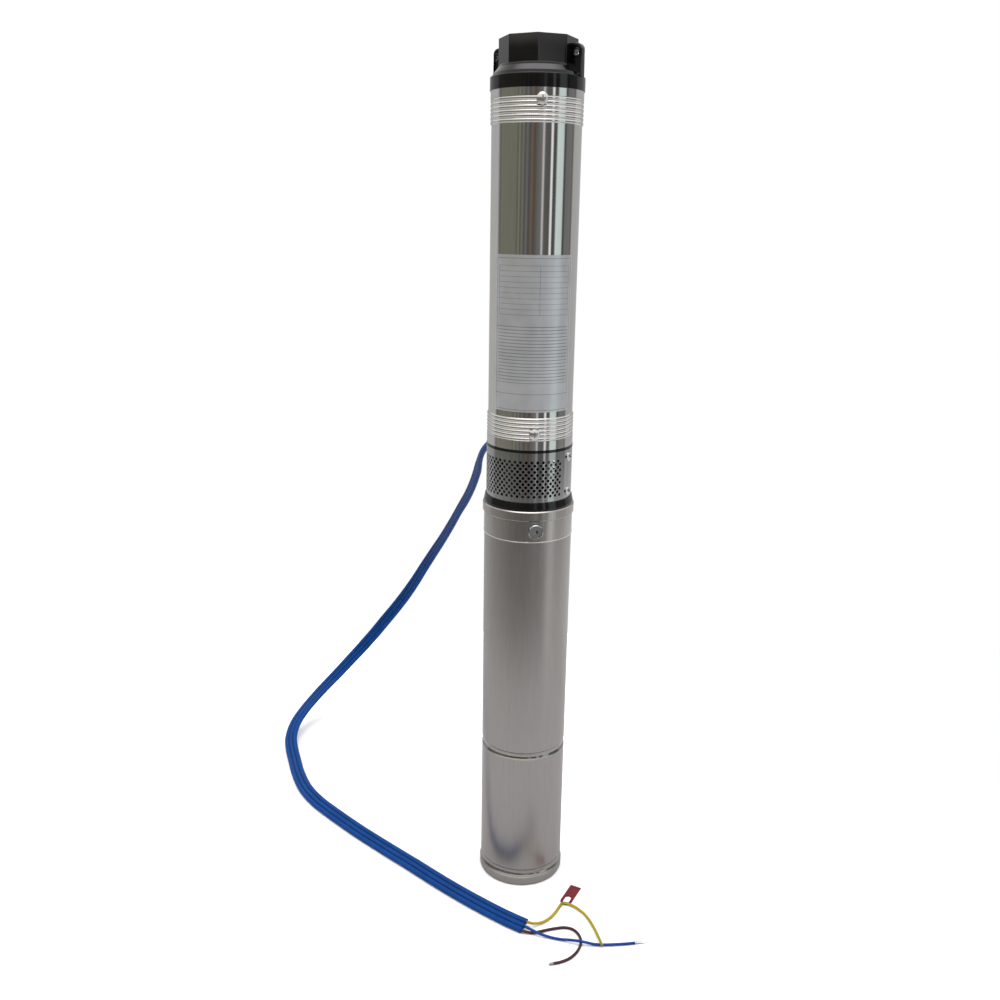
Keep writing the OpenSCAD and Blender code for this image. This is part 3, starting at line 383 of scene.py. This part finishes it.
def ear(azimuth):
    """Moulded web with a raised rim and a bossed eye, in the plane of the axis at azimuth."""
    outline = fillet([(EAR_ROOT, SHOULDER_Z - 1), (EAR_REACH, SHOULDER_Z - 1),
                      (EAR_REACH, EAR_TOP, EAR_ROUND), (EAR_ROOT, EAR_TOP)], 9)
    dense = finer(outline, EAR_STEP)
    eye = Vector((EYE_R, EYE_Z))
    out = Vector((math.sin(azimuth), -math.cos(azimuth), 0))
    side = Vector((math.cos(azimuth), math.sin(azimuth), 0))

    def lay(points, t):
        return [out * p.x + side * t + Vector((0, 0, p.y)) for p in points]

    def inset(by):
        return [p + (eye - p).normalized() * by for p in dense]

    def around(radius):
        return [eye + (p - eye).normalized() * radius for p in dense]

    half, eye_r = EAR_T / 2, EYE_D / 2
    face = [(inset(by), half - under) for by, under in EAR_RIM]
    face += [(around(eye_r + by), half - under) for by, under in EYE_BOSS]
    loops = [lay(points, -t) for points, t in face[::-1]] + [lay(points, t) for points, t in face]
    return skin(loops, closed=True)


head_shape = joined(turned(fillet(BAND_PROFILE)), nut(), ear(EAR_AZ), ear(EAR_AZ + math.pi))
head = mesh_object("head", *head_shape, sharp_deg=32)
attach(head, "housing")
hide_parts("discharge_head")

# Bright bead where the motor's top cover meets its can.
SEAM_R, SEAM_SUNK, SEAM_PROUD, SEAM_ROUND = 48.0, 0.2, 0.75, 0.4
SEAM_LOW, SEAM_HIGH = 424.5, 425.5
seam = mesh_object("cover_seam", *turned(fillet([
    (SEAM_R - SEAM_SUNK, SEAM_LOW), (SEAM_R + SEAM_PROUD, SEAM_LOW, SEAM_ROUND),
    (SEAM_R + SEAM_PROUD, SEAM_HIGH, SEAM_ROUND), (SEAM_R - SEAM_SUNK, SEAM_HIGH)])))
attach(seam, "housing")

# Return spring of the check valve, with closed ends.
COIL_R, WIRE_R, COIL_TURNS, CLOSED_TURNS, COIL_STEPS, VALVE_LIFT = 6.6, 0.6, 6.0, 0.9, 30, 8.0


def return_spring():
    low, high = (corner.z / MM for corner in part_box("valve_spring"))
    closed_h = 2 * WIRE_R * CLOSED_TURNS
    open_h = high - low - 2 * WIRE_R - 2 * closed_h
    line = []
    for i in range(round(COIL_TURNS * COIL_STEPS) + 1):
        turn = i / COIL_STEPS
        closed = min(turn, CLOSED_TURNS) + max(0, turn - COIL_TURNS + CLOSED_TURNS)
        climbed = (turn - closed) / (COIL_TURNS - 2 * CLOSED_TURNS)
        rise = closed / CLOSED_TURNS * closed_h + climbed * open_h
        angle = math.tau * turn
        line.append(Vector((COIL_R * math.cos(angle), COIL_R * math.sin(angle), low + WIRE_R + rise)))
    made = mesh_object("return_spring", *swept(line, [circle(WIRE_R, 12)]), sharp_deg=50)
    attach(made, "housing")
    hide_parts("valve_spring")
    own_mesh(made)
    return made


spring = return_spring()

# Silver label on the shell, with a ruled frame and an empty ruled form.
SHELL_R = 45.0
LABEL_AZ, LABEL_Z = (-55.5, 57.9), (564.3, 721.4)
LABEL_T, LABEL_SUNK, INK_T, INK_SUNK, PATCH_STEP = 0.12, 0.3, 0.03, 0.02, 1.5
# Rules: width of frame, table and writing lines; then insets in degrees and heights in millimetres.
RULE, TABLE_RULE, LINE_RULE = 0.35, 0.25, 0.5
FRAME_IN, FRAME_LOW, FRAME_TOP = 3, 2.2, 3.4
TABLE_IN, TABLE_TOP, TABLE_ROWS, ROW_H, COLUMN_SHARE = 4, 10.5, 9, 5.35, 0.58
LINES_IN, LINES_TOP, LINES, LINE_H = 3, 70.5, 17, 3.35
CLOSING_RULES = (30, 18.5)


def patch(first_az, last_az, low, high, inner, outer):
    """Thin curved plate on the shell between two azimuths in degrees and two heights."""
    n = max(2, round((last_az - first_az) / PATCH_STEP))
    loops = []
    for j in range(n + 1):
        a = math.radians(first_az + (last_az - first_az) * j / n)
        s, c = math.sin(a), -math.cos(a)
        loops.append([(inner * s, inner * c, low), (outer * s, outer * c, low),
                      (outer * s, outer * c, high), (inner * s, inner * c, high)])
    return skin(loops, caps=True)


def label_rules():
    """Frame, table of nine empty rows in two columns, writing lines and a closing box, as printed rules."""
    face = SHELL_R + LABEL_T
    per_mm = math.degrees(1 / SHELL_R)
    shapes = []

    def level(z, a, b, width=RULE):
        shapes.append(patch(a, b, z - width / 2, z + width / 2, face - INK_SUNK, face + INK_T))

    def upright(az, low, high, width=RULE):
        half = width / 2 * per_mm
        shapes.append(patch(az - half, az + half, low, high, face - INK_SUNK, face + INK_T))

    bottom, top = LABEL_Z
    left, right = LABEL_AZ[0] + FRAME_IN, LABEL_AZ[1] - FRAME_IN
    low, high = bottom + FRAME_LOW, top - FRAME_TOP
    for z in (low, high):
        level(z, left, right)
    for az in (left, right):
        upright(az, low, high)
    first, last, table_top = left + TABLE_IN, right - TABLE_IN, top - TABLE_TOP
    for i in range(TABLE_ROWS + 1):
        level(table_top - i * ROW_H, first, last, TABLE_RULE)
    for az in (first, first + (last - first) * COLUMN_SHARE, last):
        upright(az, table_top - TABLE_ROWS * ROW_H, table_top, TABLE_RULE)
    for i in range(LINES):
        level(top - LINES_TOP - i * LINE_H, left + LINES_IN, right - LINES_IN, LINE_RULE)
    for up in CLOSING_RULES:
        level(bottom + up, left, right)
    return joined(*shapes)


label_shape = patch(*LABEL_AZ, *LABEL_Z, SHELL_R - LABEL_SUNK, SHELL_R + LABEL_T)
label = mesh_object("label", *label_shape, sharp_deg=30)
rules = mesh_object("label_rules", *label_rules(), sharp_deg=30)
for piece in (label, rules):
    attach(piece, "housing")


# Floor and light

def add(tree, kind, inputs=None, **settings):
    """A shader node with its settings; an input is a constant or another node's output."""
    node = tree.nodes.new("ShaderNode" + kind)
    for key, value in settings.items():
        setattr(node, key, value)
    for key, value in (inputs or {}).items():
        if isinstance(value, bpy.types.NodeSocket):
            tree.links.new(value, node.inputs[key])
        else:
            node.inputs[key].default_value = value
    return node


def ramp_of(tree, factor, stops):
    ramp = add(tree, "ValToRGB", {"Fac": factor})
    elements = ramp.color_ramp.elements
    elements.remove(elements[1])
    for i, (at, color) in enumerate(stops):
        stop = elements[0] if i == 0 else elements.new(at)
        stop.position = at
        stop.color = (*color, 1)
    return ramp.outputs["Color"]


# Room seen in the polished steel: azimuth from the front in degrees, level, tint.
ROOM_STRIPS = [
    (-180, 0.44, 0), (-112, 0.50, 0), (-102, 0.12, 0), (-97, 0.20, 1), (-50, 0.19, 1), (-46, 0.12, 1),
    (-42, 0.25, 1), (-38, 0.12, 1), (-32, 0.20, 1), (-27, 0.09, 0), (-22, 0.18, 0), (-16, 0.08, 0),
    (-10, 0.15, 2), (-3, 0.09, 2), (8, 0.16, 0), (15, 0.18, 0), (19, 0.70, 0), (23, 0.12, 0),
    (37, 0.10, 0), (39.5, 0.95, 0), (43, 0.95, 0), (45, 0.08, 0), (53, 0.09, 0), (56, 0.78, 3),
    (73, 0.74, 3), (77, 0.04, 0), (84, 0.18, 0), (102, 0.20, 0), (106, 0.12, 0), (113, 0.46, 0),
    (180, 0.48, 0)]
# The same room lower down, where the motor sees it.
LOW_STRIPS = [
    (-180, 0.66, 0), (-114, 0.60, 0), (-91, 0.51, 0), (-73, 0.43, 0), (-56, 0.33, 0), (-41, 0.26, 0),
    (-13, 0.23, 0), (15, 0.27, 0), (29, 0.29, 0), (47, 0.36, 0), (55, 0.92, 0), (66, 0.90, 0),
    (73, 0.70, 0), (94, 0.72, 0), (117, 0.80, 0), (180, 0.80, 0)]
CEILING_STRIPS = [
    (-180, 1.0, 0), (-90, 0.8, 0), (-62, 1.0, 4), (22, 1.0, 4), (45, 0.85, 0), (90, 0.9, 0), (180, 1.0, 0)]
ROOM_TINTS = [(1, 1, 1), (1.0, 0.99, 0.80), (1.15, 0.9, 0.74), (0.88, 1.03, 1.01), (1.0, 0.955, 0.90)]
GROUND = (0.52, 0.505, 0.49, 1)
ZENITH = (3.4, 3.3, 3.4, 1)
# Heights, as the sine of the elevation, where each further layer of the room begins and has taken over.
LOW_LAYER, GROUND_LAYER = (-0.2, -0.33), (-0.4, -0.55)
CEILING_LAYER, ZENITH_LAYER = (0.25, 0.35), (0.78, 0.99)
# Soft boxes: name, place, aim, size, power.
SOFT_BOXES = [
    ("key_light", (-1.4, -1.2, 2.4), (0, 0, 0.4), 1.4, 14),
    ("fill_light", (1.6, -0.8, 2.2), (0, 0, 0.4), 1.4, 10),
    ("top_light", (0, 0.4, 2.8), (0, 0, 0), 2.0, 14)]
FLOOR_R, FLOOR_Z, FLOOR_SIDES = 700, -0.2, 128
FLOOR_PALE, FLOOR_SHADE = (0.92, 0.92, 0.92, 1), (0.43, 0.43, 0.435, 1)


def world_light():
    """Soft light from above, a grey room with a few pale strips round the sides, plain white behind."""
    world = bpy.data.worlds.new("studio")
    bpy.context.scene.world = world
    world.use_nodes = True
    tree = world.node_tree
    tree.nodes.clear()
    way = add(tree, "SeparateXYZ", {0: add(tree, "TexCoord").outputs["Generated"]})
    front = add(tree, "Math", {0: way.outputs["Y"], 1: -1}, operation="MULTIPLY")
    turn = add(tree, "Math", {0: way.outputs["X"], 1: front.outputs[0]}, operation="ARCTAN2")
    share = add(tree, "MapRange", {"Value": turn.outputs[0], "From Min": -math.pi, "From Max": math.pi})

    def strips(levels):
        stops = [(az / 360 + 0.5, [level * t for t in ROOM_TINTS[tint]]) for az, level, tint in levels]
        return ramp_of(tree, share.outputs[0], stops)

    color = strips(ROOM_STRIPS)
    for (begin, end), layer in [(LOW_LAYER, strips(LOW_STRIPS)), (GROUND_LAYER, GROUND),
                                (CEILING_LAYER, strips(CEILING_STRIPS)), (ZENITH_LAYER, ZENITH)]:
        rise = add(tree, "MapRange", {"Value": way.outputs["Z"], "From Min": begin, "From Max": end},
                   interpolation_type="SMOOTHSTEP")
        mixed = add(tree, "Mix", {"Factor": rise.outputs[0], "A": color, "B": layer}, data_type="RGBA")
        color = mixed.outputs["Result"]
    room = add(tree, "Background", {"Color": color})
    plain = add(tree, "Background", {"Color": (1, 1, 1, 1)})
    seen = add(tree, "LightPath").outputs["Is Camera Ray"]
    both = add(tree, "MixShader", {0: seen, 1: room.outputs[0], 2: plain.outputs[0]})
    add(tree, "OutputWorld", {"Surface": both.outputs[0]})


def soft_box(name, place, aim, size, power):
    data = bpy.data.lights.new(name, "AREA")
    data.shape = "DISK"
    data.size = size
    data.energy = power
    lamp = bpy.data.objects.new(name, data)
    lamp.visible_glossy = False
    bpy.context.scene.collection.objects.link(lamp)
    lamp.location = place
    lamp.rotation_euler = (Vector(aim) - Vector(place)).to_track_quat("-Z", "Y").to_euler()


def floor_disc():
    """Pale matt floor that gloss sees as mid grey, as it sees the paper of a real studio in its own shade."""
    rim = [(*xy, FLOOR_Z) for xy in circle(FLOOR_R, FLOOR_SIDES)]
    disc = mesh_object("floor", rim, [tuple(range(FLOOR_SIDES))])
    material = bpy.data.materials.new("floor_white")
    material.use_nodes = True
    tree = material.node_tree
    tree.nodes.clear()
    pale = add(tree, "BsdfDiffuse", {"Color": FLOOR_PALE})
    shade = add(tree, "BsdfDiffuse", {"Color": FLOOR_SHADE})
    gloss = add(tree, "LightPath").outputs["Is Glossy Ray"]
    both = add(tree, "MixShader", {0: gloss, 1: pale.outputs[0], 2: shade.outputs[0]})
    add(tree, "OutputMaterial", {"Surface": both.outputs[0]})
    disc.data.materials.append(material)


world_light()
for values in SOFT_BOXES:
    soft_box(*values)
floor_disc()


# Materials. Noise between these two values goes from the lower to the higher number, or from dark to light.
NOISE_SPAN, COLOR_SPAN = (0.3, 0.7), (0.32, 0.68)
# Cloudy patches over metal and over plastic: scale, stretch, detail.
METAL_PATCHES, PLASTIC_PATCHES = (18, (1, 1, 0.6), 2.0), (60, (1, 1, 1), 4.0)
# Height in metres over which a band's gloss fades into the tube's.
BAND_EDGE = 0.0006


def look(name, color, roughness, metallic=0.0, **sockets):
    """A new material and its node tree and principled shader, with constants on the shader's own sockets."""
    material = bpy.data.materials.new(name)
    material.use_nodes = True
    tree = material.node_tree
    shader = tree.nodes["Principled BSDF"]
    values = {"Base Color": (*color, 1), "Roughness": roughness, "Metallic": metallic, **sockets}
    for key, value in values.items():
        shader.inputs[key].default_value = value
    return material, tree, shader


def noise(tree, scale, stretch=(1, 1, 1), detail=3.0):
    """Noise over the object's own metres, stretched along the axes."""
    place = add(tree, "TexCoord").outputs["Object"]
    spread = add(tree, "Mapping", {"Vector": place, "Scale": stretch})
    return add(tree, "TexNoise", {"Vector": spread.outputs[0], "Scale": scale, "Detail": detail}).outputs["Fac"]


def between(tree, value, low, high):
    made = add(tree, "MapRange", {"Value": value, "From Min": NOISE_SPAN[0], "From Max": NOISE_SPAN[1],
                                  "To Min": low, "To Max": high})
    return made.outputs[0]


def color_between(tree, value, dark, light):
    return ramp_of(tree, value, list(zip(COLOR_SPAN, (dark, light))))


def relief(tree, shader, height, distance):
    bump = add(tree, "Bump", {"Height": height, "Strength": 1.0, "Distance": distance})
    tree.links.new(bump.outputs["Normal"], shader.inputs["Normal"])


def banded_metal(name, dark, light, rough, bump, bands, band_rough):
    """Metal with a gloss of its own over two level bands, where rings or grooves are rolled into a tube."""
    middle, apart, half = bands
    material = metal(name, dark, light, rough, FINE, DRAWN, bump)
    tree = material.node_tree
    height = add(tree, "SeparateXYZ", {0: add(tree, "TexCoord").outputs["Object"]}).outputs["Z"]
    off = add(tree, "Math", {0: height, 1: middle}, operation="SUBTRACT")
    side = add(tree, "Math", {0: off.outputs[0]}, operation="ABSOLUTE")
    from_band = add(tree, "Math", {0: side.outputs[0], 1: apart}, operation="SUBTRACT")
    away = add(tree, "Math", {0: from_band.outputs[0]}, operation="ABSOLUTE")
    inside = add(tree, "MapRange", {"Value": away.outputs[0], "From Min": half, "From Max": half + BAND_EDGE,
                                    "To Min": 1.0, "To Max": 0.0})
    socket = tree.nodes["Principled BSDF"].inputs["Roughness"]
    gloss = socket.links[0].from_socket
    blend = add(tree, "Mix", {"Factor": inside.outputs[0], "A": gloss, "B": band_rough})
    tree.links.new(blend.outputs["Result"], socket)
    return material


def metal(name, dark, light, rough, streak_scale, stretch, bump):
    """Metal with fine drawing streaks in its colour, gloss and relief."""
    material, tree, shader = look(name, light, rough[0], 1.0)
    streaks = noise(tree, streak_scale, stretch)
    patches = noise(tree, *METAL_PATCHES)
    tree.links.new(color_between(tree, streaks, dark, light), shader.inputs["Base Color"])
    mixed = add(tree, "Math", {0: streaks, 1: patches}, operation="ADD")
    half = add(tree, "Math", {0: mixed.outputs[0], 1: 0.5}, operation="MULTIPLY")
    tree.links.new(between(tree, half.outputs[0], *rough), shader.inputs["Roughness"])
    relief(tree, shader, streaks, bump)
    return material


def moulded(name, dark, light, rough, grain_scale, bump, sockets):
    """Plastic or rubber with a fine moulded grain and faint cloudy patches."""
    material, tree, shader = look(name, light, rough[0], **sockets)
    grain = noise(tree, grain_scale, detail=2.0)
    patches = noise(tree, *PLASTIC_PATCHES)
    tree.links.new(color_between(tree, patches, dark, light), shader.inputs["Base Color"])
    tree.links.new(between(tree, patches, *rough), shader.inputs["Roughness"])
    relief(tree, shader, grain, bump)
    return material


def paint_valley_shade(tube):
    """Gives the faces in the valleys between a cable's lobes to its second material, a darker blue that paints
    the shade in the creases.
    """
    sides = 2 * (LOBE_SAMPLES + VALLEY_SAMPLES)
    middles = (0, LOBE_SAMPLES, LOBE_SAMPLES + VALLEY_SAMPLES, 2 * LOBE_SAMPLES + VALLEY_SAMPLES)
    valleys = {k % sides for middle in middles for k in (middle - 1, middle)}
    for k, polygon in enumerate(tube.data.polygons):
        polygon.material_index = int(k % sides in valleys and len(polygon.vertices) == 4)


def wind_stripe(tube, sides, share, turn_deg):
    """Gives a share of a tube's round to its second material, as a stripe that winds along it."""
    for k, polygon in enumerate(tube.data.polygons):
        at = (k % sides) / sides + (k // sides) * turn_deg / 360
        polygon.material_index = int(at % 1 < share)


PLAIN, WAXY, DULL = {}, {"Specular IOR Level": 0.2}, {"Specular IOR Level": 0.1}
GRAIN, GRAIN_RELIEF = 2600, 1.2e-5
# Plastics and rubbers: dark, light, roughness from and to, grain scale, relief in metres, other shader constants.
MOULDED = {
    "black_plastic": ((0.003, 0.003, 0.0032), (0.005, 0.005, 0.0053), (0.08, 0.14), GRAIN, 1e-6, PLAIN),
    "inner_plastic": ((0.035, 0.035, 0.038), (0.055, 0.055, 0.06), (0.4, 0.55), GRAIN, GRAIN_RELIEF, PLAIN),
    "white_plastic": ((0.68, 0.66, 0.6), (0.8, 0.78, 0.72), (0.38, 0.5), GRAIN, GRAIN_RELIEF, PLAIN),
    "ceramic": ((0.78, 0.76, 0.71), (0.86, 0.84, 0.80), (0.2, 0.32), GRAIN, 3e-6, PLAIN),
    "carbon": ((0.045, 0.045, 0.05), (0.07, 0.07, 0.075), (0.28, 0.42), GRAIN, 3e-6, PLAIN),
    "black_rubber": ((0.014, 0.014, 0.015), (0.024, 0.024, 0.025), (0.5, 0.68), GRAIN, GRAIN_RELIEF, PLAIN),
    "cable_blue": ((0.002, 0.037, 0.162), (0.003, 0.046, 0.20), (0.34, 0.42), 1800, 1e-6, DULL),
    # Darker blue for the valleys between the cable's lobes: painted shade in the creases, the sheath itself being
    # one blue.
    "cable_groove": ((0.001, 0.014, 0.07), (0.002, 0.018, 0.09), (0.4, 0.5), 1800, 1e-6, WAXY),
    "core_yellow_green": ((0.32, 0.24, 0.008), (0.39, 0.285, 0.010), (0.3, 0.42), 2500, 2e-6, WAXY),
    "core_green": ((0.15, 0.19, 0.008), (0.19, 0.23, 0.010), (0.3, 0.42), 2500, 2e-6, WAXY),
    "core_brown": ((0.042, 0.016, 0.018), (0.054, 0.020, 0.023), (0.3, 0.42), 2500, 2e-6, WAXY),
    "core_blue": ((0.003, 0.032, 0.19), (0.004, 0.040, 0.23), (0.3, 0.42), 2500, 2e-6, WAXY),
    "tag_red": ((0.10, 0.006, 0.012), (0.14, 0.009, 0.016), (0.28, 0.4), 1500, 3e-6, WAXY),
    "label_silver": ((0.58, 0.597, 0.622), (0.64, 0.657, 0.682), (0.30, 0.38), 1400, 2e-6, {"Metallic": 0.6}),
    "label_ink": ((0.10, 0.10, 0.11), (0.16, 0.16, 0.17), (0.4, 0.5), GRAIN, GRAIN_RELIEF, PLAIN),
}
FINE, STREAK_RELIEF = 900, 2e-6
DRAWN, WOUND, ROLLED = (1, 1, 0.03), (1, 1, 0.1), (1, 1, 1)
TURNED, STACKED = (0.05, 0.05, 1), (0.02, 0.02, 1)
# Metals: dark, light, roughness from and to, scale and stretch of the streaks, relief in metres.
METALS = {
    "motor_steel": ((0.38, 0.36, 0.345), (0.43, 0.41, 0.395), (0.27, 0.34), FINE, DRAWN, 3e-7),
    "cover_steel": ((0.40, 0.38, 0.36), (0.46, 0.44, 0.415), (0.15, 0.21), FINE, DRAWN, 2.5e-7),
    "plug_steel": ((0.36, 0.36, 0.36), (0.46, 0.46, 0.46), (0.10, 0.16), FINE, ROLLED, 6e-7),
    "strainer_steel": ((0.40, 0.40, 0.40), (0.50, 0.50, 0.50), (0.09, 0.15), FINE, DRAWN, 6e-7),
    "seam_steel": ((0.80, 0.78, 0.75), (0.88, 0.86, 0.83), (0.3, 0.4), FINE, DRAWN, 4e-7),
    "screw_steel": ((0.68, 0.67, 0.65), (0.78, 0.77, 0.75), (0.14, 0.26), 700, ROLLED, STREAK_RELIEF),
    "bright_steel": ((0.70, 0.69, 0.68), (0.80, 0.79, 0.78), (0.06, 0.12), 700, ROLLED, 4e-7),
    "turned_steel": ((0.55, 0.55, 0.56), (0.66, 0.66, 0.67), (0.22, 0.36), FINE, TURNED, STREAK_RELIEF),
    "oiled_steel": ((0.030, 0.029, 0.028), (0.05, 0.048, 0.046), (0.3, 0.42), FINE, TURNED, STREAK_RELIEF),
    "lamination": ((0.24, 0.24, 0.25), (0.36, 0.36, 0.37), (0.4, 0.55), 2000, STACKED, STREAK_RELIEF),
    "copper": ((0.62, 0.28, 0.13), (0.75, 0.38, 0.19), (0.28, 0.45), FINE, WOUND, STREAK_RELIEF),
    "tinned_wire": ((0.22, 0.20, 0.19), (0.38, 0.35, 0.33), (0.3, 0.45), 1500, ROLLED, STREAK_RELIEF),
}
# Two bands rolled into a tube, in metres: middle between them, half their distance, half a band's height.
SHELL_RINGS = (0.7009, 0.1549, 0.0124)
CAN_GROOVES = (0.09305, 0.07655, 0.0044)
# Rolled tubes: dark, light, roughness from and to, relief in metres, bands, roughness in them.
BANDED = {
    "polished_steel": ((0.70, 0.69, 0.67), (0.76, 0.75, 0.735), (0.05, 0.11), 4e-7, SHELL_RINGS, 0.1),
    "can_steel": ((0.385, 0.365, 0.35), (0.42, 0.40, 0.385), (0.27, 0.32), 2e-7, CAN_GROOVES, 0.15),
}
looks = {}
for kind, table in [(moulded, MOULDED), (metal, METALS), (banded_metal, BANDED)]:
    looks.update({name: kind(name, *values) for name, values in table.items()})

# Nodes that differ from the rest of their slot.
OWN_LOOKS = {"motor_top_cover": "cover_steel", "motor_can": "can_steel", "oil_plug": "plug_steel",
             "coupling": "oiled_steel", "strainer_screws": "bright_steel"}
# Stripe of the earth core: share of its round, turn in degrees for each ring of the tube.
STRIPE_SHARE, STRIPE_TURN = 0.42, 5.5
slots = {s["node"]: s["material_slot"] for s in frame["record"]["subparts"]}
for node, thing in nodes.items():
    thing.data.materials.clear()
    thing.data.materials.append(looks[OWN_LOOKS.get(node, slots[node])])
for lead, wires, slot in leads:
    lead.data.materials.append(looks[slot])
    wires.data.materials.append(looks["tinned_wire"])
    if slot == "core_yellow_green":
        lead.data.materials.append(looks["core_green"])
        wind_stripe(lead, CORE_SIDES, STRIPE_SHARE, STRIPE_TURN)
for piece, name in [(cable, "cable_blue"), (cable, "cable_groove"), (nose, "black_rubber"),
                    (head, "black_plastic"), (seam, "seam_steel"), (spring, "turned_steel"),
                    (label, "label_silver"), (rules, "label_ink")]:
    piece.data.materials.append(looks[name])
# The valleys between the cable's lobes take the darker blue of painted shade.
paint_valley_shade(cable)
